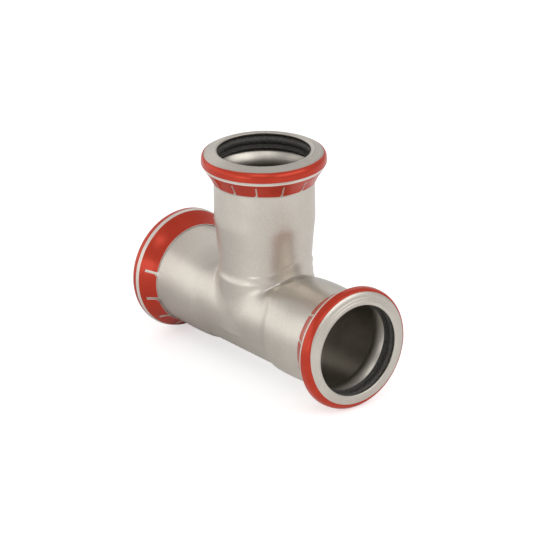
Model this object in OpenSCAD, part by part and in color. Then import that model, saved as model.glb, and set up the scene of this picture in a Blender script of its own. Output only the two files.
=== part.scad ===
// Press tee for thin-walled steel pipe: a hydroformed body with three sockets.
// Each socket ends in a rolled bead that holds a seal ring, and a press indicator
// foil wraps the outside of the bead.
// Frame: the run lies along X, the branch points to +Z, and the origin is on the
// floor under the crossing of the two axes. All lengths are in millimetres.

/* [Pipe and sockets] */
// Outer diameter of the pipe that the sockets take
pipe_d = 28; // [27:0.5:30]
// Gap between pipe and socket bore, on the radius
bore_gap = 0.2; // [0.1:0.05:0.4]
// Thickness of the body's steel wall
wall = 1.2; // [1:0.1:1.4]
// How far a pipe goes into a socket, from the socket's face
insert_depth = 23; // [20:0.5:25]

/* [Run and branch] */
// Distance from the branch's axis to each face of the run
run_reach = 44.9; // [44:0.5:60]
// Distance from the run's axis to the branch's face
branch_reach = 51.8; // [48:0.5:70]
// Step from a socket's bore down to the bore of the run's middle, on the radius
run_step = 0.47; // [0.3:0.02:0.6]
// Half the length of the narrow middle of the run
run_core_half = 13.4; // [12:0.2:14]
// Length of the shoulder between the run's middle and its sockets
run_shoulder = 5.5; // [4:0.5:7]
// Growth of a run socket's outer radius towards its shoulder
run_swell = 0.32; // [0:0.02:0.4]
// Taper of the branch from its bore down to its root, on the radius
branch_taper = 1; // [0.6:0.1:1.2]

/* [Branch root] */
// Height above the run's axis where the branch's taper ends in a kink
kink_h = 18; // [17:0.1:20]
// Distance from the kink down to the middle of the raised ring
ridge_drop = 2; // [1.5:0.1:3]
// Height of the raised ring over the branch's wall, on the radius
ridge_rise = 0.21; // [0.1:0.01:0.4]
// Distance from the raised ring down to the narrow neck
neck_drop = 4; // [3:0.1:4.5]
// Depth of the neck under the raised ring, on the radius
neck_dip = 0.47; // [0.2:0.01:0.6]
// Step of the root back from the run's own side, on the radius
root_step = 0.1; // [0.05:0.05:0.3]
// Radius of the fillet between branch and run
root_fillet = 2; // [1:0.1:3]

/* [Bead] */
// Gap between the bead's lip and the pipe's surface, on the radius
lip_gap = 0.3; // [0.2:0.05:0.5]
// Width of the chamfered ring round the socket's mouth
mouth_ring = 0.9; // [0.5:0.1:1.2]
// Depth of the chamfered ring at the mouth's edge
mouth_dip = 0.35; // [0.1:0.05:0.5]
// Distance of the bead's crest from the socket's face
crest_in = 2.95; // [2.7:0.05:3.3]
// Rise of the bead's crest above the socket's tube
crest_rise = 3.5; // [3.2:0.1:4]
// Radius of the bead's rounding over its crest
crest_round = 2.2; // [2:0.1:2.4]
// Length of the bead, from the face to where its cone meets the tube
bead_len = 10.1; // [9.5:0.1:11]
// Radius of the hollow where the cone meets the tube
bead_fillet = 1.6; // [0.8:0.1:2.5]

/* [Seal ring] */
// Clearance between the seal ring and the groove that holds it
seal_gap = 0.05; // [0.02:0.01:0.1]
// How far the sealing lobe stands inside the bore, on the radius
seal_squeeze = 0.12; // [0:0.02:0.14]
// Radius of the sealing lobe
lobe_r = 1.3; // [1.1:0.05:1.4]
// Distance from the sealing lobe's middle to the thin lip behind it
lip_pitch = 2.3; // [2.1:0.1:2.5]
// Radius of the thin lip's edge
lip_edge_r = 0.3; // [0.2:0.05:0.35]
// Length of the seal ring behind its thin lip
seal_tail = 1.2; // [0.8:0.1:1.5]

/* [Press indicator] */
// Thickness of the foil
foil_t = 0.3; // [0.2:0.05:0.4]
// Clearance between the foil and the bead
foil_gap = 0.05; // [0.02:0.01:0.1]
// Distance of the foil's front edge from the socket's face
foil_start = 1.1; // [1:0.1:1.6]
// Distance from the end of the foil's cone to the foil's rear edge
foil_short = 0.35; // [0.3:0.05:0.8]
// Number of slits that a whole turn of the foil's collar would hold
slit_count = 13; // [8:1:18]
// Number of slits left out, where the foil has its unbroken field
field_slits = 3; // [0:1:4]
// Width of a slit
slit_w = 0.65; // [0.4:0.05:1]
// Length of a slit
slit_len = 3.4; // [2.5:0.1:3.8]
// Rounding of the foil's corner on the wide side of a slit
slit_round = 1; // [0.5:0.1:1.4]
// Rounding of the foil's corner on the other side of a slit
slit_small_round = 0.4; // [0.2:0.1:0.6]
// Angle from the top where the left foil's slit tabs begin
left_turn = 20; // [0:1:359]
// Angle from the bottom where the right foil's slit tabs begin
right_turn = 42; // [0:1:359]
// Angle from the run's direction where the branch foil's slit tabs begin
branch_turn = 189; // [0:1:359]

/* [Hidden] */
$fn = 96;

// Radii that follow from the pipe
pipe_r = pipe_d / 2;
bore_r = pipe_r + bore_gap;
tube_r = bore_r + wall;
lip_r = pipe_r + lip_gap;
face_r = lip_r + mouth_ring;
crest_r = tube_r + crest_rise;
crest_c = crest_r - crest_round;
foil_r = crest_r + foil_gap + foil_t;
run_core_r = bore_r - run_step;
run_r = run_core_r + wall;
swell_r = tube_r + run_swell;
branch_core_r = bore_r - branch_taper;
kink_r = branch_core_r + wall;
ridge_r = kink_r + ridge_rise;
neck_r = ridge_r - neck_dip;
root_r = run_r - root_step;

// Heights above the run's axis, and that axis's height above the floor
ridge_h = kink_h - ridge_drop;
neck_h = ridge_h - neck_drop;
axis_h = foil_r;

// Angles at which the bead's face and its cone leave the crest's rounding: both are
// tangent to it, from the mouth's ring and from the tube
face_turn = 360 + atan2(face_r - crest_c, -crest_in)
    - acos(crest_round / norm([crest_in, face_r - crest_c]));
cone_turn = atan2(tube_r - crest_c, bead_len - crest_in)
    + acos(crest_round / norm([bead_len - crest_in, tube_r - crest_c]));
cone_a = 90 - cone_turn;

// Ends of the foil and of its slits, from the face
foil_end = bead_len - foil_short;
slit_start = foil_end - slit_len;

// Steps in a curved stretch of an outline, and in the fillet round the root
steps = 7;
root_steps = 60;
fillet_steps = 5;
// Depth by which the fillet's edges lie under the surfaces that they blend
bury = 0.06;
// Length by which a cut runs past the faces that it opens
past = 2;

red = [0.80, 0.16, 0.12];
steel = [0.72, 0.69, 0.65];
black = [0.09, 0.09, 0.09];

// Points of a circle's arc round c, angles in degrees
function arc(c, r, from, to, n = steps) =
    [for (i = [0:n]) let (t = from + (to - from) * i / n) c + r * [cos(t), sin(t)]];

// Points of a smooth step from p to q
function ease(p, q, n = steps) =
    [for (i = [0:n]) let (u = i / n) [p[0] + (q[0] - p[0]) * u,
                                      p[1] + (q[1] - p[1]) * (1 - cos(180 * u)) / 2]];

function reversed(path) = [for (i = [len(path) - 1:-1:0]) path[i]];

// Outlines of a socket are points (s, r): s from the face inwards, r from the axis

// The bead at a depth d under its outer surface, from the mouth's ring to the tube
function bead_path(d) =
    let (bend = bead_len - (d / cos(cone_a) - d) / tan(cone_a),
         hollow = bead_fillet + d,
         hollow_c = [bend + hollow * tan(cone_a / 2), tube_r - d + hollow])
    concat(
        [[0, face_r] - d * [cos(face_turn), sin(face_turn)]],
        arc([crest_in, crest_c], crest_round - d, face_turn, cone_turn),
        arc(hollow_c, hollow, 270 - cone_a, 270, 3));

// The point of the bead's cone under s, raised by d over its surface
function cone_point(s, d) =
    [s + d * sin(cone_a), tube_r + (bead_len - s) * tan(cone_a) + d * cos(cone_a)];

// Outer outline of a socket as far as its bead's end
bead_outside = concat(
    [[mouth_dip * (1 + past / mouth_ring), lip_r - past]],
    bead_path(0));

// Outline of a socket's hollow, from in front of the mouth to the end of its bore
socket_inside = concat(
    [[-past, lip_r], [(wall + mouth_dip) / 2, lip_r]],
    bead_path(wall),
    [[insert_depth, bore_r]]);

// A socket's outline is laid out along an axis that leaves through its face
function from_face(path, reach) = [for (p = path) [reach - p[0], p[1]]];
function both_ways(path) = concat(path, [for (p = reversed(path)) [-p[0], p[1]]]);

shoulder_x = run_core_half + run_shoulder;
run_outside = both_ways(concat(
    from_face(bead_outside, run_reach),
    ease([shoulder_x, swell_r], [run_core_half, run_r])));
run_inside = both_ways(concat(
    from_face(socket_inside, run_reach),
    [[run_core_half, run_core_r]]));

branch_outside = concat(
    from_face(bead_outside, branch_reach),
    [[branch_reach - insert_depth + wall, tube_r], [kink_h, kink_r]],
    ease([kink_h - ridge_drop / 4, kink_r], [ridge_h, ridge_r], 3),
    ease([ridge_h - ridge_drop / 4, ridge_r], [neck_h, neck_r], 4),
    ease([neck_h - ridge_drop / 8, neck_r], [neck_h - neck_drop / 2, root_r], 4),
    [[0, root_r]]);
branch_inside = concat(
    from_face(socket_inside, branch_reach),
    [[kink_h, branch_core_r], [0, branch_core_r]]);

// Solid of revolution about +Z, filled to its axis, under points (height, radius)
module turned(path) {
    rotate_extrude()
        polygon(concat([[0, path[0][0]]], [for (p = path) [p[1], p[0]]],
                       [[0, path[len(path) - 1][0]]]));
}

// Solid of revolution of a closed outline of points (s, r), in a face's frame
module ring(outline) {
    rotate_extrude() polygon([for (p = outline) [p[1], p[0]]]);
}

// Frames: +Z of a child is the way a pipe leaves, or at a face the way it goes in
module run_frame(side) { translate([0, 0, axis_h]) rotate([0, 90 * side, 0]) children(); }
module branch_frame() { translate([0, 0, axis_h]) children(); }
module face_frame(reach) { translate([0, 0, reach]) mirror([0, 0, 1]) children(); }
module left_face() { run_frame(-1) face_frame(run_reach) children(); }
module right_face() { run_frame(1) face_frame(run_reach) children(); }
module branch_face() { branch_frame() face_frame(branch_reach) children(); }

// Section of the fillet round the root at the angle a. A ball rolls along branch and
// run: the section holds the arc between its two points of contact, and an inner point
function root_section(a) =
    let (wall_r = neck_r + (ridge_r - neck_r) * pow(cos(a), 4),
         reach = wall_r + root_fillet - bury,
         y = reach * sin(a),
         z = sqrt(pow(run_r + root_fillet - bury, 2) - y * y),
         centre = [reach * cos(a), y, z],
         to_wall = [-cos(a), -sin(a), 0],
         to_run = -[0, y, z] / norm([y, z]),
         turn = acos(to_wall * to_run))
    concat(
        [for (i = [0:fillet_steps]) let (t = turn * i / fillet_steps)
            centre + root_fillet * (sin(turn - t) * to_wall + sin(t) * to_run) / sin(turn)],
        [centre + (root_fillet + wall / 3) * (to_wall + to_run) / (1 + cos(turn))]);

module root_collar() {
    n = fillet_steps + 2;
    points = [for (k = [0:root_steps - 1]) each root_section(360 * k / root_steps)];
    faces = [for (k = [0:root_steps - 1], i = [0:n - 1])
        let (k2 = (k + 1) % root_steps, i2 = (i + 1) % n)
        each [[k * n + i, k2 * n + i2, k * n + i2], [k * n + i, k2 * n + i, k2 * n + i2]]];
    polyhedron(points, faces);
}

module tee_body() {
    color(steel)
    difference() {
        union() {
            run_frame(1) turned(run_outside);
            branch_frame() turned(branch_outside);
            branch_frame() root_collar();
        }
        run_frame(1) turned(run_inside);
        branch_frame() turned(branch_inside);
    }
}

// Seal ring in a face's frame: a round sealing lobe in the bead's front, a thin lip
// behind it, and a back that follows the bead's groove
module seal_ring() {
    d = wall + seal_gap;
    back = bead_path(d);
    lobe_rr = bore_r - seal_squeeze + lobe_r;
    front_to_lobe = (lobe_rr - back[0][1]) * sin(face_turn) + lobe_r;
    lobe_c = [back[0][0] - front_to_lobe / cos(face_turn), lobe_rr];
    lip_c = lobe_c + [lip_pitch, lip_edge_r - lobe_r];
    tail = lip_c[0] + seal_tail;
    color(black) ring(concat(
        arc(lobe_c, lobe_r, face_turn, 325),
        [lip_c + [-2 * lip_edge_r, 2 * lip_edge_r]],
        arc(lip_c, lip_edge_r, 180, 360),
        [lip_c + [2 * lip_edge_r, 2 * lip_edge_r], [tail, lip_c[1] + 2 * lip_edge_r],
         cone_point(tail + d * sin(cone_a), -d)],
        arc([crest_in, crest_c], crest_round - d, cone_turn, face_turn)));
}

// The foil's face at a height d over the bead, from its front edge over the crest and
// down the cone
function foil_path(d) =
    let (r = crest_round + d)
    concat(arc([crest_in, crest_c], r, 180 - acos((crest_in - foil_start) / r), cone_turn),
           [cone_point(foil_end, d)]);

// Outline of a slit: x across it, y from the socket's face, open at the foil's edge
module slit() {
    w = slit_w / 2;
    far = foil_end + past;
    wide_c = [-w - slit_round, foil_end - slit_round];
    small_c = [w + slit_small_round, foil_end - slit_small_round];
    polygon(concat(
        [[w, slit_start]],
        arc(small_c, slit_small_round, 180, 90, 3), [[small_c[0], far], [wide_c[0], far]],
        arc(wide_c, slit_round, 90, 0, 5), [[-w, slit_start]]));
}

// Foil in a face's frame, turned on its socket by an angle. Its slits follow each
// other from there, half a pitch in, and the rest of the turn is its unbroken field
module press_indicator(turn) {
    pitch = 360 / slit_count;
    color(red) rotate([0, 0, turn]) difference() {
        ring(concat(foil_path(foil_gap), reversed(foil_path(foil_gap + foil_t))));
        for (i = [0:slit_count - 1 - field_slits])
            rotate([0, 0, pitch * (i + 1 / 2)]) rotate([90, 0, 90])
                linear_extrude(height = foil_r + past) slit();
    }
}

tee_body();
left_face() seal_ring();  // seal_ring_left
right_face() seal_ring();  // seal_ring_right
branch_face() seal_ring();  // seal_ring_branch
left_face() press_indicator(left_turn);  // press_indicator_left
right_face() press_indicator(right_turn);  // press_indicator_right
branch_face() press_indicator(branch_turn);  // press_indicator_branch
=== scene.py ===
import math

import bmesh
import bpy
import numpy as np
from mathutils import Matrix, Vector


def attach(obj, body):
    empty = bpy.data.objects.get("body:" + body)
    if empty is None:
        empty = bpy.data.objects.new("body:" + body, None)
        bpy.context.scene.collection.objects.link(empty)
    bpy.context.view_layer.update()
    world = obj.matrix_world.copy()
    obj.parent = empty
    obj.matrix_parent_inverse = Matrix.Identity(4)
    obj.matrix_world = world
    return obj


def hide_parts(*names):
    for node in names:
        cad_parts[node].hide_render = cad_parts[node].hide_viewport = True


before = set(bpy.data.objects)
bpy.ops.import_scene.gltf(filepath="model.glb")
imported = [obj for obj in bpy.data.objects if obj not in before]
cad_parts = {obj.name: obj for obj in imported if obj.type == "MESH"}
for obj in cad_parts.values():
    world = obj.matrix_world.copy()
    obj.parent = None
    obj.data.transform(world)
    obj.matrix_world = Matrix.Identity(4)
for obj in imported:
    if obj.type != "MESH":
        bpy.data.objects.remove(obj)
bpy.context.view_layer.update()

# One millimetre in the frame's unit, which is the metre
MM = 0.001

# Sizes in millimetres, those of the CAD source
AXIS_H = 19.25
RUN_REACH = 44.9
BRANCH_REACH = 51.8
WALL = 1.2
BORE_R = 14.2
TUBE_R = BORE_R + WALL
LIP_R = 14.3
FACE_R = 15.2
MOUTH_DIP = 0.35
CREST_IN = 2.95
CREST_R = 18.9
CREST_ROUND = 2.2
CREST_C = CREST_R - CREST_ROUND
BEAD_LEN = 10.1
BEAD_FILLET = 1.6
INSERT_DEPTH = 23.0
RUN_CORE_R, RUN_CORE_HALF = 13.73, 13.4
BRANCH_CORE_R, KINK_H = 13.2, 18.0
SEAL_GAP, SEAL_SQUEEZE = 0.05, 0.12
LOBE_R, LIP_PITCH, LIP_EDGE, SEAL_TAIL = 1.3, 2.3, 0.3, 1.2

# Sizes that the CAD source has otherwise or not at all. The foil is thinner here
FOIL_GAP, FOIL_T = 0.03, 0.2
# Behind the seal the groove's wall runs out into the bore: length, power, number of points
GROOVE_RUN, GROOVE_FALL, GROOVE_POINTS = 4.4, 1.8, 16
# The bore's painted shade fades out from its own radius to this one
SHADE_R = 14.8

# The bead's face and cone leave the rounding of its crest at these angles, in radians
FACE_TURN = (2 * math.pi + math.atan2(FACE_R - CREST_C, -CREST_IN)
             - math.acos(CREST_ROUND / math.hypot(CREST_IN, FACE_R - CREST_C)))
CONE_TURN = (math.atan2(TUBE_R - CREST_C, BEAD_LEN - CREST_IN)
             + math.acos(CREST_ROUND / math.hypot(BEAD_LEN - CREST_IN, TUBE_R - CREST_C)))
CONE_A = math.pi / 2 - CONE_TURN


def on_outline(s):
    """Distance along the bead's outline from its cone's top to a depth s from the mouth."""
    over = (s - CREST_IN) / CREST_ROUND
    if over < math.cos(CONE_TURN):
        return (CONE_TURN - math.acos(over)) * CREST_ROUND
    return (over - math.cos(CONE_TURN)) * CREST_ROUND / math.cos(CONE_A)


# Places on a bead are given by their distance q along its outline from the cone's top,
# which grows towards the tube
FOIL_START, FOIL_END = on_outline(1.1), on_outline(9.75)
SLIT_START = on_outline(6.0)
SLIT_W = {"left": 0.45, "right": 0.35, "branch": 0.2}
SLIT_ROUND, SLIT_SMALL = 1.4, 0.5
# Width of the bare margin along a tab's edge
TAB_MARGIN = {"left": 0.16, "right": 0.14, "branch": 0.1}
# The foil's front edge: its place at the turn where it is nearest the mouth, how much
# further back it lies on the other side, and that turn in degrees
FOIL_FRONT = {"left": (FOIL_START, 1.2, 270), "right": (-4.0, 1.2, 325),
              "branch": (FOIL_START, 0.5, 340)}
# The pale band's place and width
BAND_AT = {"left": (-0.5, 0.85), "right": (0.1, 1.2), "branch": (-0.15, 1.05)}
# The turns of the slits round each socket, in degrees
SLITS = {"left": [33.9, 61.5, 89, 117, 145, 172.5, 200, 224, 252.5, 283.5],
         "right": [56, 83.5, 111, 139, 167, 195, 223.5, 253, 279, 306],
         "branch": [203, 232, 263, 289, 314, 341.5, 367.5, 395, 424, 452]}
# Height of the bead's bulge, and the places between which it rises and falls
BULGE, BULGE_RISE, BULGE_FALL = 0.26, (-1, 0), (1, 5)

# Extent of the patch where branch and run meet: along the run, up the branch, round the run
PATCH_X = 22.0
PATCH_Z = 30.0
PATCH_TURN = math.radians(110)
# Greatest growth of the rounding round the branch's root
ROOT_FILLET = 2.2


# Camera at the photograph's angle

def look_from(azimuth, elevation, roll, distance, target, lens):
    """A camera whose azimuth 0 looks along +Y, turned about its own axis by roll degrees."""
    a, e, t = (math.radians(v) for v in (azimuth, elevation, roll))
    back = Vector((math.sin(a) * math.cos(e), -math.cos(a) * math.cos(e), math.sin(e)))
    right = Vector((math.cos(a), math.sin(a), 0))
    up = back.cross(right)
    x = right * math.cos(t) + up * math.sin(t)
    y = up * math.cos(t) - right * math.sin(t)
    data = bpy.data.cameras.new("camera")
    data.lens = lens
    data.clip_start = 0.01
    data.clip_end = 50
    camera = bpy.data.objects.new("camera", data)
    at = Vector(target) + back * distance
    camera.matrix_world = Matrix([(x[i], y[i], back[i], at[i]) for i in range(3)]
                                 + [(0, 0, 0, 1)])
    bpy.context.scene.collection.objects.link(camera)
    return camera


bpy.context.scene.camera = look_from(azimuth=52.092, elevation=22.576, roll=-0.865,
                                     distance=1.29637, target=(-0.00251, 0.00367, 0.02945),
                                     lens=281.45)


# Materials

def new_material(name):
    material = bpy.data.materials.new(name)
    material.use_nodes = True
    tree = material.node_tree
    return material, tree, tree.nodes["Principled BSDF"]


def node(tree, kind, **values):
    made = tree.nodes.new(kind)
    for key, value in values.items():
        if hasattr(made, key):
            setattr(made, key, value)
        else:
            made.inputs[key.replace("_", " ")].default_value = value
    return made


def noise(tree, scale, detail, roughness=0.5):
    """A noise texture over the object's own coordinates, in metres."""
    coords = node(tree, "ShaderNodeTexCoord")
    made = node(tree, "ShaderNodeTexNoise", Scale=scale, Detail=detail, Roughness=roughness)
    tree.links.new(coords.outputs["Object"], made.inputs["Vector"])
    return made.outputs["Fac"]


def ramp(tree, factor, low, high, start=0.0, end=1.0):
    """A colour that goes from low to high as the factor goes from start to end."""
    made = node(tree, "ShaderNodeValToRGB")
    first, last = made.color_ramp.elements
    first.position, first.color = start, low
    last.position, last.color = end, high
    tree.links.new(factor, made.inputs["Fac"])
    return made.outputs["Color"]


def spread(tree, factor, low, high):
    """A value that goes from low to high as the factor goes from 0 to 1."""
    made = node(tree, "ShaderNodeMapRange", To_Min=low, To_Max=high)
    tree.links.new(factor, made.inputs["Value"])
    return made.outputs["Result"]


def bump(tree, height, strength, distance, normal=None):
    made = node(tree, "ShaderNodeBump", Strength=strength, Distance=distance)
    tree.links.new(height, made.inputs["Height"])
    if normal:
        tree.links.new(normal, made.inputs["Normal"])
    return made.outputs["Normal"]


def mean(tree, a, b):
    half = node(tree, "ShaderNodeMath", operation="MULTIPLY")
    both = node(tree, "ShaderNodeMath", operation="MULTIPLY_ADD")
    for made in (half, both):
        made.inputs[1].default_value = 0.5
    tree.links.new(a, half.inputs[0])
    tree.links.new(b, both.inputs[0])
    tree.links.new(half.outputs["Value"], both.inputs[2])
    return both.outputs["Value"]


def shaded(tree, colour, attribute, shade):
    """The colour, multiplied by a painted shade where the mesh's attribute is 1."""
    where = node(tree, "ShaderNodeAttribute", attribute_name=attribute)
    made = node(tree, "ShaderNodeMix", data_type="RGBA", blend_type="MULTIPLY")
    factor, first, second, result = made.inputs[0], made.inputs[6], made.inputs[7], made.outputs[2]
    second.default_value = shade
    tree.links.new(where.outputs["Fac"], factor)
    tree.links.new(colour, first)
    return result


def steel_material():
    """Satin steel, darkened in the bore by a painted shade."""
    material, tree, shader = new_material("satin_steel")
    cloud = noise(tree, 90, 4, 0.55)
    grain = noise(tree, 5200, 3, 0.6)
    fleck = noise(tree, 1900, 2, 0.6)
    tone = ramp(tree, mean(tree, cloud, fleck), (0.54, 0.501, 0.447, 1), (0.66, 0.617, 0.552, 1),
                start=0.3, end=0.7)
    # Painted shade: the tone is multiplied by this grey where the mesh's weight marks the bore
    tone = shaded(tree, tone, "inside", (0.72, 0.72, 0.71, 1))
    normal = bump(tree, cloud, 0.5, 0.00012)
    normal = bump(tree, grain, 0.05, 0.0002, normal)
    tree.links.new(tone, shader.inputs["Base Color"])
    tree.links.new(spread(tree, grain, 0.31, 0.43), shader.inputs["Roughness"])
    tree.links.new(normal, shader.inputs["Normal"])
    shader.inputs["Metallic"].default_value = 1
    return material


def band_material():
    material, tree, shader = new_material("pale_band")
    tone = ramp(tree, noise(tree, 300, 3), (0.72, 0.67, 0.60, 1), (0.82, 0.77, 0.70, 1))
    tree.links.new(tone, shader.inputs["Base Color"])
    shader.inputs["Metallic"].default_value = 0.3
    shader.inputs["Roughness"].default_value = 0.3
    return material


def foil_material():
    material, tree, shader = new_material("red_foil")
    tone = ramp(tree, noise(tree, 160, 3), (0.46, 0.030, 0.014, 1), (0.61, 0.056, 0.023, 1))
    tree.links.new(tone, shader.inputs["Base Color"])
    shader.inputs["Roughness"].default_value = 0.24
    shader.inputs["Specular IOR Level"].default_value = 0.3
    shader.inputs["Metallic"].default_value = 0.35
    return material


def rubber_material():
    material, tree, shader = new_material("black_rubber")
    grain = noise(tree, 2100, 4, 0.7)
    tone = ramp(tree, grain, (0.018, 0.017, 0.015, 1), (0.095, 0.090, 0.078, 1),
                start=0.38, end=0.66)
    tree.links.new(tone, shader.inputs["Base Color"])
    tree.links.new(spread(tree, grain, 0.38, 0.66), shader.inputs["Roughness"])
    tree.links.new(bump(tree, grain, 0.35, 0.0001), shader.inputs["Normal"])
    return material


STEEL, RUBBER, FOIL, BAND = steel_material(), rubber_material(), foil_material(), band_material()


# Outlines of a socket: points (s, r), s from the face inwards, r from the axis

def arc(centre, radius, start, end, n):
    t = np.linspace(start, end, n + 1)
    return [(centre[0] + radius * math.cos(a), centre[1] + radius * math.sin(a)) for a in t]


# Points down the bead's cone, as far as it bulges, and gap behind the seal in its groove
CONE_PLACES = np.linspace(0.4, 5.2, 13)
BEHIND_SEAL = 0.1


def bead_path(d, fine):
    """The bead at a depth d under its outer surface, from the mouth's ring to the tube."""
    bend = BEAD_LEN - (d / math.cos(CONE_A) - d) / math.tan(CONE_A)
    hollow = BEAD_FILLET + d
    hollow_c = (bend + hollow * math.tan(CONE_A / 2), TUBE_R - d + hollow)
    inwards = math.pi * 1.5
    if d:
        over = arc((CREST_IN, CREST_C), CREST_ROUND - d, FACE_TURN, CONE_TURN, fine)
    else:
        face_end = (CONE_TURN - FACE_TURN) * CREST_ROUND
        places = np.append(np.linspace(face_end, 0, fine + 1), CONE_PLACES)
        over = [on_bead(q)[:2] for q in places]
    return ([(-d * math.cos(FACE_TURN), FACE_R - d * math.sin(FACE_TURN))]
            + over + arc(hollow_c, hollow, inwards - CONE_A, inwards, fine // 3))


def seal_lobe():
    """Centre of the seal's round lobe, which touches the back of the bead's face."""
    d = WALL + SEAL_GAP
    s, r = -d * math.cos(FACE_TURN), FACE_R - d * math.sin(FACE_TURN)
    lobe_r = BORE_R - SEAL_SQUEEZE + LOBE_R
    return s - ((lobe_r - r) * math.sin(FACE_TURN) + LOBE_R) / math.cos(FACE_TURN), lobe_r


def groove_path():
    """The groove's wall; behind the seal it turns inwards and runs out into the bore."""
    path = bead_path(WALL, fine=9)
    tail = seal_lobe()[0] + LIP_PITCH + SEAL_TAIL + BEHIND_SEAL
    wall_r = TUBE_R + (BEAD_LEN - tail) * math.tan(CONE_A) - WALL / math.cos(CONE_A)
    path = [p for p in path if p[0] < tail or p[1] > wall_r] + [(tail, wall_r)]
    steps = np.sin(np.linspace(0, math.pi / 2, GROOVE_POINTS + 1)[1:])
    return path + [(tail + GROOVE_RUN * t, BORE_R + (wall_r - BORE_R) * (1 - t) ** GROOVE_FALL)
                   for t in steps]


def spaced(path, step):
    """The same outline with more points on its long straight stretches."""
    out = [path[0]]
    for a, b in zip(path, path[1:]):
        n = max(1, math.ceil(math.hypot(b[0] - a[0], b[1] - a[1]) / step))
        out += [(a[0] + (b[0] - a[0]) * i / n, a[1] + (b[1] - a[1]) * i / n)
                for i in range(1, n + 1)]
    return out


def rounded(path, corners, n=4):
    """The same outline with some corners rounded; corners says how far back each begins."""
    out = []
    for i, p in enumerate(path):
        if i not in corners:
            out.append(p)
            continue
        p = np.array(p)
        a = np.array(path[i - 1]) - p
        b = np.array(path[i + 1]) - p
        a, b = a / np.linalg.norm(a), b / np.linalg.norm(b)
        reach = corners[i]
        for t in np.linspace(0, 1, n + 1):
            out.append(tuple(p + reach * (a * (1 - t) ** 2 + b * t * t)))
    return out


# Shape of the formed middle: the run's radius along x and round it, the branch's by
# height and direction. Both come from heights and radii read off the object's outline

def table(points):
    """A smooth function through points (where, value), flat beyond both ends."""
    xs, ys = np.array(points).T
    slope = np.diff(ys) / np.diff(xs)
    same = slope[:-1] * slope[1:] > 0
    total = np.where(same, slope[:-1] + slope[1:], 1)
    middle = np.where(same, 2 * slope[:-1] * slope[1:] / total, 0)
    grads = np.concatenate([[0], middle, [0]])

    def value(x):
        x = np.clip(x, xs[0], xs[-1])
        i = np.clip(np.searchsorted(xs, x, side="right") - 1, 0, len(xs) - 2)
        h = xs[i + 1] - xs[i]
        t = (x - xs[i]) / h
        return ((1 + 2 * t) * (1 - t) ** 2 * ys[i] + t * (1 - t) ** 2 * h * grads[i]
                + t * t * (3 - 2 * t) * ys[i + 1] + t * t * (t - 1) * h * grads[i + 1])
    return value


run_side = table([(12.9, 14.93), (14.0, 14.98), (15.0, 15.19), (15.9, 15.43), (16.6, 15.56),
                  (17.6, 15.62), (21.0, 15.71), (24.0, 15.72), (27.0, 15.62), (30.0, 15.49),
                  (34.8, 15.40)])
run_top = table([(12.0, 13.30), (14.6, 13.45), (16.0, 13.78), (18.0, 14.20), (20.0, 14.55),
                 (22.0, 14.80), (25.0, 15.05), (29.0, 15.25), (34.8, 15.40)])
branch_wall = table([(10.0, 14.12), (12.0, 14.14), (15.0, 14.22), (18.0, 14.36),
                     (20.0, 14.50), (22.0, 14.67), (24.0, 14.84), (26.0, 15.03),
                     (28.0, 15.25), (29.6, 15.41), (31.0, 15.45), (34.0, 15.40)])
# The raised band's height, from the crease at its foot to its top
band_form = table([(0.0, 0.2), (0.35, 0.62), (0.6, 0.92), (0.78, 1.0), (0.9, 0.6), (1.0, 0.0)])
# How far out the run's neck lies, by the angle from its top, and where that shift fades
neck_shift = table([(20, -1.6), (38, -1.0), (60, 1.6), (83, 2.2), (121, 2.2), (146, 0.9),
                    (180, 0.4)])
NECK_FADE = 20, 34
# Half the width, in radians, of the flat that the branch presses into the run's top
TOP_FLAT = math.radians(36)


def rise(value, start, end):
    """0 before start and 1 beyond end, with a soft course between them."""
    t = np.clip((value - start) / (end - start), 0, 1)
    return t * t * (3 - 2 * t)


def run_radius(x, turn):
    """Outer radius of the run at x, turn measured from its top."""
    x = np.abs(x)
    low = np.abs(np.angle(np.exp(1j * turn)))
    fade = np.clip((NECK_FADE[1] - x) / (NECK_FADE[1] - NECK_FADE[0]), 0, 1)
    side = run_side(x - neck_shift(np.degrees(low)) * fade)
    flat = np.exp(-(low / TOP_FLAT) ** 2)
    return side + (run_top(x) - side) * flat


def from_end(turn):
    """Degrees from the nearer end of the run, positive towards +Y."""
    return np.degrees(np.arctan2(np.sin(turn), np.abs(np.cos(turn))))


# The branch's root, all by the degrees from the nearer end of the run: the middle and the
# width of the raised band's crown, the width of the crease's hump, and the places between
# which the smooth front and the crotch begin and end and the band grows higher
CROWN_AT, CROWN_WIDTH, HUMP_WIDTH = 12, 38, 40
FRONT, CROTCH, HIGHER = (50, 68), (8, 28), (22, 48)
# Heights over the run's axis of the crease and the band's top, each with its rise
CREASE_H, CREASE_HUMP = 12.35, 0.9
BAND_TOP_H, BAND_TOP_HUMP = 15.1, 5.2
# Height of the raised band at its crown, and its growth where it is higher
BAND_RISE, BAND_GROWTH = 0.26, 0.22
# How far above the crease the branch begins to flare, with the growth in the crotch, and by
# how much it flares, with the growth at the front and in the crotch
FLARE_REACH, REACH_CROTCH = 2.3, 1.4
FLARE, FLARE_FRONT, FLARE_CROTCH = 0.40, 0.20, 0.1


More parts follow.
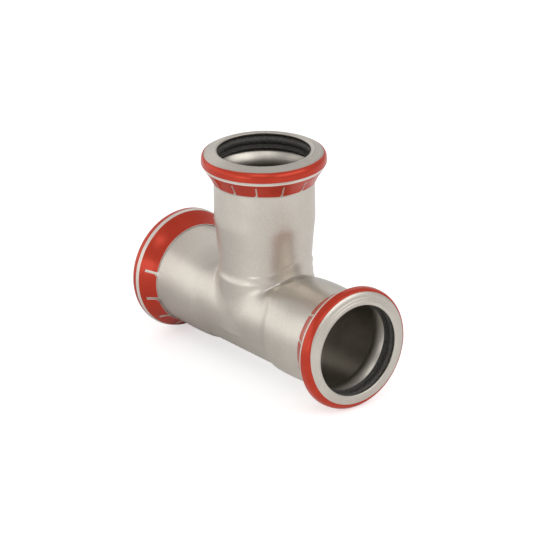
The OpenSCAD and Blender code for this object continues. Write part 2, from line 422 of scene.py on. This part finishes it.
def branch_radius(z, turn):
    """Outer radius of the branch at height z over the run's axis, turn measured from +X."""
    side = from_end(turn)
    crown = np.exp(-((side - CROWN_AT) / CROWN_WIDTH) ** 2)
    crease = CREASE_H + CREASE_HUMP * np.exp(-(side / HUMP_WIDTH) ** 2)
    front = rise(np.abs(side), *FRONT)
    crotch = 1 - rise(np.abs(side), *CROTCH)
    # Raised band over the run's ends, wide in their middle
    band_top = BAND_TOP_H + BAND_TOP_HUMP * crown
    height = BAND_RISE * crown + BAND_GROWTH * rise(np.abs(side), *HIGHER)
    band = height * band_form((z - crease) / (band_top - crease)) * (1 - front)
    # Flare down to the crease, and the foot below it
    reach = FLARE_REACH + REACH_CROTCH * crotch
    most = FLARE + FLARE_FRONT * front + FLARE_CROTCH * crotch
    flare = most * np.clip((crease + reach - z) / reach, 0, 1) ** 2
    return branch_wall(z) + band + flare


def blended(a, b, k):
    """Union of two forms whose corner is rounded over the width k."""
    u, v = np.maximum(k - a, 0), np.maximum(k - b, 0)
    return np.maximum(k, np.minimum(a, b)) - np.hypot(u, v)


# The root's rounding is this wide at the crotch, and wider by ROOT_FILLET between these
# places; its width falls to LEAST_WIDTH at the run's sides, by a power
CROTCH_WIDTH, WIDER, LEAST_WIDTH, WIDTH_FALL = 0.5, (25, 59), 0.02, 0.35


def outer_form(p):
    """Signed form whose zero is the outer surface: run and branch, blended at the root."""
    x, y, z = p.T
    run_d, branch_d = np.hypot(y, z), np.hypot(x, y)
    a = run_d - run_radius(x, np.arctan2(y, z))
    b = branch_d - branch_radius(z, np.arctan2(y, x))
    frontal = y * y / (run_d * branch_d)
    width = CROTCH_WIDTH + ROOT_FILLET * rise(np.abs(from_end(np.arctan2(y, x))), *WIDER)
    return blended(a, b, width * np.maximum(1 - frontal, 0) ** WIDTH_FALL + LEAST_WIDTH)


def inner_run_radius(x, turn=0):
    """Radius of the run's bore at x, the same at every turn."""
    return np.interp(np.abs(x), [RUN_CORE_HALF, RUN_REACH - INSERT_DEPTH], [RUN_CORE_R, BORE_R])


def inner_branch_radius(z, turn=0):
    """Radius of the branch's bore at height z over the run's axis, the same at every turn."""
    return np.interp(z, [KINK_H, BRANCH_REACH - INSERT_DEPTH], [BRANCH_CORE_R, BORE_R])


def inner_form(p):
    """Signed form whose zero is the bores' surface."""
    x, y, z = p.T
    run_d, branch_d = np.hypot(y, z), np.hypot(x, y)
    a = run_d - inner_run_radius(x)
    b = branch_d - inner_branch_radius(z)
    frontal = y * y / (run_d * branch_d)
    return blended(a, b, (ROOT_FILLET + WALL) * (1 - frontal) + LEAST_WIDTH)


# Distance over which a form's slope is measured, and the least square of it that is used
SLOPE_STEP, LEAST_SLOPE = 0.004, 0.2


def settle(form, p, steps=7):
    """Moves points along the form's slope until they lie on its zero."""
    e = SLOPE_STEP
    for _ in range(steps):
        value = form(p)
        slope = np.stack([(form(p + e * d) - form(p - e * d)) / (2 * e) for d in np.eye(3)], 1)
        p = p - (value / np.maximum((slope ** 2).sum(1), LEAST_SLOPE))[:, None] * slope
    return p


# Meshes are collected as blocks of points, and equal points are welded at the end
WELD_DIST = 2e-6


class Mesh:
    def __init__(self):
        self.points, self.inside, self.faces, self.slots, self.count = [], [], [], [], 0

    def grid(self, block, wrap=False, slot=0, inside=0.0):
        """Faces over rows and columns of points, with a weight of painted shade that is 1 where
        they lie in the bore.
        """
        rows, cols = block.shape[:2]
        base = self.count
        self.points.append(block.reshape(-1, 3))
        self.inside.append(np.broadcast_to(np.reshape(inside, (-1, 1)), (rows, cols)).ravel())
        self.count += rows * cols
        i, j = np.meshgrid(np.arange(rows - 1), np.arange(cols if wrap else cols - 1),
                           indexing="ij")
        k = (j + 1) % cols
        quads = np.stack([i * cols + j, (i + 1) * cols + j, (i + 1) * cols + k, i * cols + k], -1)
        quads = quads.reshape(-1, 4) + base
        self.faces.append(quads)
        self.slots.append(np.full(len(quads), slot))

    def build(self, name, materials):
        data = bpy.data.meshes.new(name)
        points = np.concatenate(self.points) + (0, 0, AXIS_H)
        data.from_pydata((points * MM).tolist(), [], np.concatenate(self.faces).tolist())
        data.polygons.foreach_set("material_index", np.concatenate(self.slots))
        for material in materials:
            data.materials.append(material)
        inside = np.concatenate(self.inside)
        # The weight of painted shade goes onto the mesh as an attribute
        if inside.any():
            data.attributes.new("inside", "FLOAT", "POINT").data.foreach_set("value", inside)
        bm = bmesh.new()
        bm.from_mesh(data)
        bmesh.ops.remove_doubles(bm, verts=bm.verts, dist=WELD_DIST)
        bmesh.ops.recalc_face_normals(bm, faces=bm.faces)
        if bm.calc_volume(signed=True) < 0:
            bmesh.ops.reverse_faces(bm, faces=bm.faces)
        open_edges = sum(1 for e in bm.edges if len(e.link_faces) != 2)
        print("mesh", name, len(bm.faces), "faces,", open_edges, "open edges")
        bm.to_mesh(data)
        bm.free()
        data.shade_smooth()
        piece = bpy.data.objects.new(name, data)
        bpy.context.scene.collection.objects.link(piece)
        return piece


def in_socket(side, s, r, turn):
    """Points at a depth s from a socket's face, a radius and a turn round its axis."""
    s, r, turn = np.broadcast_arrays(s, r, turn)
    across, along = r * np.sin(turn), r * np.cos(turn)
    if side == "branch":
        return np.stack([along, across, BRANCH_REACH - s], -1)
    sign = 1 if side == "right" else -1
    return np.stack([sign * (RUN_REACH - s), across, -sign * along], -1)


# Steel body

def patch_edge(n_side, n_end):
    """Points (x, turn) round the patch's edge on the run, anticlockwise from +X, -turn."""
    x = np.linspace(PATCH_X, -PATCH_X, n_end + 1)
    turn = np.linspace(-PATCH_TURN, PATCH_TURN, n_side + 1)
    return np.concatenate([
        np.stack([np.full(n_side, PATCH_X), turn[:-1]], 1),
        np.stack([x[:-1], np.full(n_end, PATCH_TURN)], 1),
        np.stack([np.full(n_side, -PATCH_X), turn[:0:-1]], 1),
        np.stack([x[:0:-1], np.full(n_end, -PATCH_TURN)], 1)])


def on_run(x, turn, radius):
    r = radius(x, turn)
    return np.stack([x, r * np.sin(turn), r * np.cos(turn)], -1)


# The root's height is sought below this one by halving the span this many times
ROOT_TOP, HALVINGS = PATCH_Z - 6.0, 40
# Rows crowd towards the root: the share of even steps, and the power of the others
ROWS_UP, ROWS_OUT = (0.45, 1.9), (0.5, 1.8)


def crowded(t, even, power):
    return even * t + (1 - even) * t ** power


def junction(mesh, form, branch_r, run_r, n_side, n_end, rows_up, rows_out, inside=0.0):
    """The patch round the branch's root; returns the directions of its columns."""
    edge = patch_edge(n_side, n_end)
    turn = np.arctan2(edge[:, 1] / PATCH_TURN, edge[:, 0] / PATCH_X)
    low, high = np.zeros(len(turn)), np.full(len(turn), ROOT_TOP)
    for _ in range(HALVINGS):
        mid = (low + high) / 2
        r = branch_r(mid, turn)
        y, x = r * np.sin(turn), r * np.cos(turn)
        within = np.hypot(y, mid) < run_r(x, np.arctan2(y, mid))
        low, high = np.where(within, mid, low), np.where(within, high, mid)
    root = (low + high) / 2

    blocks = []
    for t in np.linspace(1, 0, rows_up + 1):
        z = root + (PATCH_Z - root) * crowded(t, *ROWS_UP)
        r = branch_r(z, turn)
        blocks.append(np.stack([r * np.cos(turn), r * np.sin(turn), z], 1))
    foot = blocks[-1]
    foot_turn = np.arctan2(foot[:, 1], foot[:, 2])
    for t in np.linspace(0, 1, rows_out + 1)[1:]:
        t = crowded(t, *ROWS_OUT)
        blocks.append(on_run(foot[:, 0] + (edge[:, 0] - foot[:, 0]) * t,
                             foot_turn + (edge[:, 1] - foot_turn) * t, run_r))
    block = np.array(blocks)
    flat = settle(form, block[1:-1].reshape(-1, 3))
    block[1:-1] = flat.reshape(block[1:-1].shape)
    mesh.grid(block, wrap=True, inside=inside)
    return turn


def underside(mesh, run_r, n_end, n_low, inside=0.0):
    turn = np.linspace(PATCH_TURN, 2 * math.pi - PATCH_TURN, n_low + 1)
    x = np.linspace(PATCH_X, -PATCH_X, n_end + 1)
    grid_x, grid_turn = np.meshgrid(x, turn, indexing="ij")
    mesh.grid(on_run(grid_x, grid_turn, run_r), inside=inside)


# Columns of the body along the run's side, across its end and underneath
N_SIDE, N_END, N_LOW = 74, 48, 48
# Fine lines are turned into the bead's face: their places from its outer rim to its inner
# one, and the profile of one line as places and depths
FACE_LINES = (0.35, 0.68)
LINE_PROFILE = ((-0.09, 0), (-0.03, 0.03), (0.03, 0.03), (0.09, 0))
# How far back from each of its four corners a socket's lip begins to round
LIP_ROUNDS = {1: 0.14, 2: 0.16, 3: 0.16, 4: 0.14}
# Longest step between points on the lip and in the bore, the step between tube and bead,
# and the number of rows on the tube
TIP_STEP, BORE_STEP, BEAD_STEP, TUBE_ROWS = 0.9, 3.0, 0.4, 14


def tee_body():
    mesh = Mesh()
    side_turns = np.linspace(-PATCH_TURN, PATCH_TURN, N_SIDE + 1)
    low_turns = np.linspace(PATCH_TURN, 2 * math.pi - PATCH_TURN, N_LOW + 1)
    run_turns = np.concatenate([side_turns, low_turns[1:-1]])
    columns = junction(mesh, outer_form, branch_radius, run_radius, N_SIDE, N_END,
                       rows_up=66, rows_out=26)
    underside(mesh, run_radius, N_END, N_LOW)
    junction(mesh, inner_form, inner_branch_radius, inner_run_radius, N_SIDE, N_END,
             rows_up=16, rows_out=10, inside=1.0)
    underside(mesh, inner_run_radius, N_END, N_LOW, inside=1.0)

    # A socket goes from the patch's edge over its bead and lip and back along its bore
    bead = bead_path(0, fine=18)[::-1]
    outer, inner = np.array(bead[-2]), np.array(bead[-1])
    lean = np.array([inner[1] - outer[1], outer[0] - inner[0]]) / -np.linalg.norm(inner - outer)
    for middle in FACE_LINES:
        for t, depth in LINE_PROFILE:
            bead.insert(-1, tuple(outer + (inner - outer) * (middle + t) + lean * depth))
    groove = groove_path()
    lip = rounded([bead[-2], bead[-1], (MOUTH_DIP, LIP_R), ((WALL + MOUTH_DIP) / 2, LIP_R),
                   groove[0], groove[1]], LIP_ROUNDS, n=3)
    tip = spaced(bead[:-2] + lip + groove[2:], TIP_STEP)
    # The bore's painted shade fades out on the wall behind the seal
    s, r = np.array(tip).T
    behind = (np.arange(len(tip)) > np.argmin(s)) & (s > seal_lobe()[0] + LIP_PITCH + SEAL_TAIL)
    shade = np.where(behind, rise(r, SHADE_R, BORE_R), 0)
    for side, reach, start in (("right", RUN_REACH, PATCH_X), ("left", RUN_REACH, PATCH_X),
                               ("branch", BRANCH_REACH, PATCH_Z)):
        end = reach - start
        if side == "branch":
            turns = columns
        else:
            turns = np.pi - run_turns if side == "right" else run_turns
        tube = np.linspace(end, bead[0][0] + BEAD_STEP, TUBE_ROWS)
        if side == "branch":
            tube_r = [branch_radius(BRANCH_REACH - s, turns) for s in tube]
        else:
            tube_r = [run_radius(RUN_REACH - s, run_turns) for s in tube]
        rows = [in_socket(side, s, r, turns) for s, r in zip(tube, tube_r)]
        rows += [in_socket(side, s, r, turns) for s, r in tip]
        mesh.grid(np.array(rows), wrap=True, inside=np.concatenate([np.zeros(len(tube)), shade]))
        bore = spaced([tip[-1], (end, BORE_R)], BORE_STEP)
        mesh.grid(np.array([in_socket(side, s, r, turns) for s, r in bore]), wrap=True, inside=1.0)
    return mesh.build("steel_body", [STEEL])


def on_bead(q):
    """Point (s, r) of the bead's outline at q, and the direction off it."""
    a = CONE_TURN - np.minimum(q, 0) / CREST_ROUND
    down = np.maximum(q, 0)
    face = np.maximum(a - FACE_TURN, 0) * CREST_ROUND
    a = np.minimum(a, FACE_TURN)
    r = CREST_ROUND + BULGE * rise(q, *BULGE_RISE) * (1 - rise(q, *BULGE_FALL))
    return (CREST_IN + r * np.cos(a) + down * math.cos(CONE_A) - face * np.sin(a),
            CREST_C + r * np.sin(a) - down * math.sin(CONE_A) + face * np.cos(a),
            np.cos(a), np.sin(a))


# The foil begins this much before its front edge, and is at its full height after a run
FRONT_LEAD, FRONT_RUN = 0.1, 0.5
# Depth of the pale band under the foil's face, and width of the slope at its sides
BAND_SINK, BAND_SIDE = 0.10, 0.12
# How much lower the foil lies behind the band, over which run, and at its rear edge
TAIL_DROP, TAIL_RUN, EDGE_DROP = 0.05, 0.5, 0.05


def foil_height(q, start, band, band_w):
    """Height of the foil's face over the bead, with the pale band recessed."""
    after = band + band_w
    ring = FOIL_T * rise(q, start - FRONT_LEAD, start - FRONT_LEAD + FRONT_RUN)
    sink = rise(q, band, band + BAND_SIDE) * (1 - rise(q, after, after + BAND_SIDE))
    tail = TAIL_DROP * rise(q, after, after + TAIL_RUN)
    edge = EDGE_DROP * rise(q, FOIL_END - BAND_SIDE, FOIL_END)
    return ring - BAND_SINK * sink - tail - edge


# Degrees between a tab's columns, their least number, and how many times as far in the
# second column of its margin lies as the first
TAB_COLUMN, LEAST_COLUMNS, SECOND = 2.2, 6, 2.5
# A tab's margin is this many columns wide at its edges, and rows at its end
MARGIN_COLS, MARGIN_ROWS = 2, 3
# The foil's rows: before its band, from there to the slits, along a tab, over its rounded
# end, and how many of them a tab takes to leave the bead
FRONT_ROWS, COLLAR_ROWS, TAB_ROWS, END_ROWS, LEAVE_ROWS = 24, 8, 8, 13, 2
# Greatest lift of a tab's corners, and unevenness of the foil's front, band and face with
# the numbers of its waves round the ring
TAB_LIFT = 0.16
FRONT_UNEVEN, BAND_UNEVEN, FACE_UNEVEN = 0.06, 0.04, 0.02
WAVES = (5, 9, 14, 23, 31)
# Between these places the face grows uneven, and by this share less at the rear edge
UNEVEN, UNEVEN_FADE = (-2.3, 0.7), 0.3
# Rounding of a tab's long edges: its depth and its width
EDGE_ROUND, EDGE_ROUND_W = 0.05, 0.1
# Places of the rows past each side of the band, and where the foil goes on behind it
BAND_ROWS, BAND_PAST = (0.05, 0.1, 0.15), 0.15
# Place of the pale material in the foil's list of materials
PALE = 1


def foil_ring(side, slits, seed):
    """The foil over a bead: a whole ring over the crest and a collar cut into tabs."""
    rng = np.random.default_rng(seed)
    slits = np.sort(np.radians(slits))
    tabs = len(slits)
    gaps = np.diff(np.append(slits, slits[0] + 2 * math.pi))
    cut = list(np.linspace(SLIT_START, FOIL_END - SLIT_ROUND, TAB_ROWS))
    steps = np.sin(np.linspace(0, math.pi / 2, END_ROWS))
    cut += list(FOIL_END - SLIT_ROUND + steps * SLIT_ROUND)[1:]

    # Columns of each tab, closer together near its edges, with their share of its width
    share = []
    for i in range(tabs):
        n = max(LEAST_COLUMNS, round(math.degrees(gaps[i]) / TAB_COLUMN))
        edge = TAB_MARGIN[side] / SECOND / TUBE_R / gaps[i]
        t = np.linspace(0, 1, n + 1)
        t = np.concatenate([[0, edge, SECOND * edge], t[1:-1],
                            [1 - SECOND * edge, 1 - edge, 1]])
        share.append(t)
    starts, ends = slits, np.append(slits[1:], slits[0] + 2 * math.pi)
    lift = rng.uniform(0.0, TAB_LIFT, (tabs, 2))
    wave = [(k, rng.uniform(0, 2 * math.pi), rng.uniform(0.3, 1.0)) for k in WAVES]

    def columns(q):
        """Turns of all columns at q, and how far each is from its tab's edge."""
        lead = SLIT_W[side] / 2 + corner(q, SLIT_ROUND)
        trail = SLIT_W[side] / 2 + corner(q, SLIT_SMALL)
        r = on_bead(q)[1]
        out, gap = [], []
        for i in range(tabs):
            # The wide rounding is on the lower-angled side of each slit
            a, b = starts[i] + trail / r, ends[i] - lead / r
            out.append(a + (b - a) * share[i])
            gap.append(np.minimum(share[i], 1 - share[i]) * (b - a) * r)
        return out, gap

    def corner(q, radius):
        d = q - (FOIL_END - radius)
        return radius - math.sqrt(max(radius ** 2 - d * d, 0)) if d > 0 else 0

    whole = np.concatenate(columns(SLIT_START)[0])
    ripple = sum(a * np.sin(k * whole + p) for k, p, a in wave) / len(wave)
    # The foil was laid on a little askew, so its front edge goes back over a quarter turn
    start, skew, turn = FOIL_FRONT[side]
    away = 0.5 * (1 - np.cos(whole - math.radians(turn)))
    start = start + skew * rise(away, 0, 0.5) + FRONT_UNEVEN * ripple
    band, band_w = BAND_AT[side]
    band = band + BAND_UNEVEN * ripple
    rows = [start + (band - start) * u for u in np.linspace(0, 1, FRONT_ROWS)]
    first = len(rows) - 1
    rows += [band + d for d in BAND_ROWS + (0.5 * band_w, band_w)]
    rows += [band + (band_w + d) for d in BAND_ROWS[:2]]
    last = len(rows)
    past = band + band_w + BAND_PAST
    rows += [past + (SLIT_START - past) * u for u in np.linspace(0, 1, COLLAR_ROWS)]

    def point(q, depth, turn):
        s, r, across, out = on_bead(q)
        return in_socket(side, s + across * depth, r + out * depth, turn)

    mesh = Mesh()
    face, back = [], []
    for q in rows:
        wobble = FACE_UNEVEN * ripple * rise(q, *UNEVEN)
        face.append(point(q, FOIL_GAP + foil_height(q, start, band, band_w) + wobble, whole))
        back.append(point(q, FOIL_GAP, whole))
    face, back = np.array(face), np.array(back)
    mesh.grid(face[:first + 1], wrap=True)
    mesh.grid(face[first:last + 1], wrap=True, slot=PALE)
    mesh.grid(face[last:], wrap=True)
    mesh.grid(back, wrap=True)
    mesh.grid(np.array([face[0], back[0]]), wrap=True)

    begin = 0
    for i in range(tabs):
        count = len(share[i])
        own = slice(begin, begin + count)
        top, under = [], []
        for j, q in enumerate(cut):
            turn, gap = columns(q)
            turn, gap = turn[i], gap[i]
            along = (q - SLIT_START) / (FOIL_END - SLIT_START)
            raised = along ** 2 * (lift[i, 0] * (1 - share[i]) ** 2 + lift[i, 1] * share[i] ** 2)
            wobble = FACE_UNEVEN * ripple[own] * (1 - UNEVEN_FADE * along)
            rounding = (1 - np.clip(gap / EDGE_ROUND_W, 0, 1)) ** 2
            free = min(1, j / LEAVE_ROWS)
            round_off = EDGE_ROUND * rounding * free
            height = foil_height(q, start[own], band[own], band_w) + wobble + raised - round_off
            top.append(point(q, FOIL_GAP + height, turn))
            under.append(point(q, FOIL_GAP + raised * free, turn))
        top, under = np.array(top), np.array(under)
        # The tab is red inside a narrow bare margin
        cols, long = MARGIN_COLS, top[:-MARGIN_ROWS]
        mesh.grid(long[:, cols:-cols])
        for margin in (top[-MARGIN_ROWS - 1:], long[:, :cols + 1], long[:, -cols - 1:]):
            mesh.grid(margin, slot=PALE)
        mesh.grid(under)
        for line in (0, -1):
            mesh.grid(np.array([top[:, line], under[:, line]]), slot=PALE)
        mesh.grid(np.array([top[-1], under[-1]]), slot=PALE)
        begin += count
    # The root of each slit
    for i in range(tabs):
        a = sum(len(share[k]) for k in range(i + 1)) - 1
        b = (a + 1) % len(whole)
        mesh.grid(np.array([face[-1][[a, b]], back[-1][[a, b]]]))
    return mesh.build("foil_" + side, [FOIL, BAND])


# The hollow between the seal's lobe and its lip: how far before and above the lip, radius
HOLLOW_BACK, HOLLOW_UP, HOLLOW_R = 0.55, 0.62, 0.12
# The lobe's round ends at this turn, and the hollow goes between these, in degrees
LOBE_END, HOLLOW_TURNS = 325, (200, 310)
# Rounding at the seal's tail, how far its outer corner is cut back, step between the
# outline's points, and number of columns
TAIL_ROUND, TAIL_CUT, SEAL_STEP, SEAL_COLUMNS = 0.15, 0.1, 0.35, 160


def seal(side):
    """A seal ring: a round lobe, a thin lip behind it, and a back that follows the groove."""
    d = WALL + SEAL_GAP
    lobe_s, lobe_r = seal_lobe()
    lip_s, lip_r = lobe_s + LIP_PITCH, lobe_r + LIP_EDGE - LOBE_R
    tail, tail_r = lip_s + SEAL_TAIL, lip_r + 2 * LIP_EDGE
    path = arc((lobe_s, lobe_r), LOBE_R, FACE_TURN, math.radians(LOBE_END), 24)
    path += arc((lip_s - HOLLOW_BACK, lip_r + HOLLOW_UP), HOLLOW_R,
                *np.radians(HOLLOW_TURNS), 4)
    path += arc((lip_s, lip_r), LIP_EDGE, math.pi, 2 * math.pi, 10)
    path += [(lip_s + 2 * LIP_EDGE, tail_r)]
    path += arc((tail - TAIL_ROUND, tail_r + TAIL_ROUND), TAIL_ROUND,
                1.5 * math.pi, 2 * math.pi, 4)
    corner = TUBE_R + (BEAD_LEN - tail) * math.tan(CONE_A) - d / math.cos(CONE_A)
    path += [(tail, corner - TAIL_CUT), (tail - TAIL_ROUND, corner)]
    path += arc((CREST_IN, CREST_C), CREST_ROUND - d, CONE_TURN, FACE_TURN, 12)
    path = spaced(path + [path[0]], SEAL_STEP)
    turns = np.linspace(0, 2 * math.pi, SEAL_COLUMNS + 1)[:-1]
    mesh = Mesh()
    mesh.grid(np.array([in_socket(side, s, r, turns) for s, r in path]), wrap=True)
    return mesh.build("seal_" + side, [RUBBER])


def place(piece, replaced):
    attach(piece, "root")
    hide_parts(replaced)


place(tee_body(), "tee_body")
for seed, side in enumerate(SLITS, start=3):
    place(foil_ring(side, SLITS[side], seed), "press_indicator_" + side)
    place(seal(side), "seal_ring_" + side)


# Floor, light and background

# The floor lies this far under the foils, in millimetres, to clear where they are uneven
FLOOR_GAP = 0.05
# Half the floor's width, and the point that all lamps face, in metres
FLOOR_HALF, LAMP_AIM = 3.0, (0, 0, 0.03)
# The camera sees the lit floor with this glow added, so that it is white but for the shadow
FLOOR_GLOW = 0.56
# In a mirror the floor glows less, and least near this place to the left of the object: a painted
# reflection, with painted shade near that place
FLOOR_DARK_AT = (-0.055, -0.03, 0)
DARK_FROM, DARK_TO, MIRROR_GLOW = 0.03, 0.10, 0.30


def floor():
    data = bpy.data.meshes.new("floor")
    half = FLOOR_HALF
    low = (AXIS_H - CREST_R - FOIL_GAP - FOIL_T - FLOOR_GAP) * MM
    data.from_pydata([(-half, -half, low), (half, -half, low), (half, half, low),
                      (-half, half, low)], [], [(0, 1, 2, 3)])
    plane = bpy.data.objects.new("floor", data)
    bpy.context.scene.collection.objects.link(plane)
    material, tree, shader = new_material("pale_floor")
    shader.inputs["Base Color"].default_value = (0.74, 0.74, 0.74, 1)
    shader.inputs["Roughness"].default_value = 0.6
    ray = node(tree, "ShaderNodeLightPath")
    coords = node(tree, "ShaderNodeTexCoord")
    away = node(tree, "ShaderNodeVectorMath", operation="DISTANCE")
    away.inputs[1].default_value = FLOOR_DARK_AT
    # Painted reflection: the floor glows in mirrors only, more with distance from that place
    far = node(tree, "ShaderNodeMapRange", interpolation_type="SMOOTHSTEP",
               From_Min=DARK_FROM, From_Max=DARK_TO, To_Min=0.0, To_Max=MIRROR_GLOW)
    mirrored = node(tree, "ShaderNodeMath", operation="MULTIPLY")
    seen = node(tree, "ShaderNodeMath", operation="MULTIPLY")
    seen.inputs[1].default_value = FLOOR_GLOW
    both = node(tree, "ShaderNodeMath", operation="ADD")
    glow = node(tree, "ShaderNodeEmission")
    total = node(tree, "ShaderNodeAddShader")
    for start, end in ((coords.outputs["Object"], away.inputs[0]),
                       (away.outputs["Value"], far.inputs["Value"]),
                       (far.outputs["Result"], mirrored.inputs[0]),
                       (ray.outputs["Is Glossy Ray"], mirrored.inputs[1]),
                       (ray.outputs["Is Camera Ray"], seen.inputs[0]),
                       (mirrored.outputs["Value"], both.inputs[0]),
                       (seen.outputs["Value"], both.inputs[1]),
                       (both.outputs["Value"], glow.inputs["Strength"]),
                       (shader.outputs["BSDF"], total.inputs[0]),
                       (glow.outputs["Emission"], total.inputs[1]),
                       (total.outputs["Shader"], tree.nodes["Material Output"].inputs["Surface"])):
        tree.links.new(start, end)
    data.materials.append(material)


def soft_box(name, azimuth, elevation, distance, size, radiance):
    """An area light seen from the object at an azimuth and elevation, in degrees."""
    a, e = math.radians(azimuth), math.radians(elevation)
    data = bpy.data.lights.new(name, "AREA")
    data.shape = "RECTANGLE"
    data.size, data.size_y = size
    data.energy = radiance * math.pi * size[0] * size[1]
    lamp = bpy.data.objects.new(name, data)
    aim = Vector(LAMP_AIM)
    lamp.location = aim + distance * Vector((math.sin(a) * math.cos(e),
                                             -math.cos(a) * math.cos(e), math.sin(e)))
    lamp.rotation_euler = (aim - lamp.location).to_track_quat("-Z", "Y").to_euler()
    bpy.context.scene.collection.objects.link(lamp)


floor()
soft_box("key", -40, 14, 1.1, (1.55, 0.75), 0.76)
soft_box("front", 14, 8, 1.1, (0.5, 0.4), 1.6)
soft_box("side", 106, 34, 1.0, (1.0, 0.5), 1.55)
soft_box("top", 42, 50, 1.0, (0.5, 0.42), 1.5)
soft_box("back", 250, 32, 1.1, (1.3, 0.6), 0.35)

# The sky's strength as light, in a mirror, and as the camera sees it
SKY_LIGHT, SKY_MIRRORED, SKY_SEEN = 0.56, 0.74, 1.0


def studio():
    world = bpy.data.worlds.new("studio")
    world.use_nodes = True
    tree = world.node_tree
    sky = tree.nodes["Background"]
    sky.inputs["Color"].default_value = (1, 1, 1, 1)
    sky.inputs["Strength"].default_value = SKY_LIGHT
    seen = node(tree, "ShaderNodeBackground", Strength=SKY_SEEN)
    mirrored = node(tree, "ShaderNodeBackground", Strength=SKY_MIRRORED)
    ray = node(tree, "ShaderNodeLightPath")
    glossy = node(tree, "ShaderNodeMixShader")
    mix = node(tree, "ShaderNodeMixShader")
    for start, end in ((ray.outputs["Is Glossy Ray"], glossy.inputs["Fac"]),
                       (sky.outputs["Background"], glossy.inputs[1]),
                       (mirrored.outputs["Background"], glossy.inputs[2]),
                       (ray.outputs["Is Camera Ray"], mix.inputs["Fac"]),
                       (glossy.outputs["Shader"], mix.inputs[1]),
                       (seen.outputs["Background"], mix.inputs[2]),
                       (mix.outputs["Shader"], tree.nodes["World Output"].inputs["Surface"])):
        tree.links.new(start, end)
    bpy.context.scene.world = world


studio()
bpy.context.scene.view_settings.view_transform = "Standard"
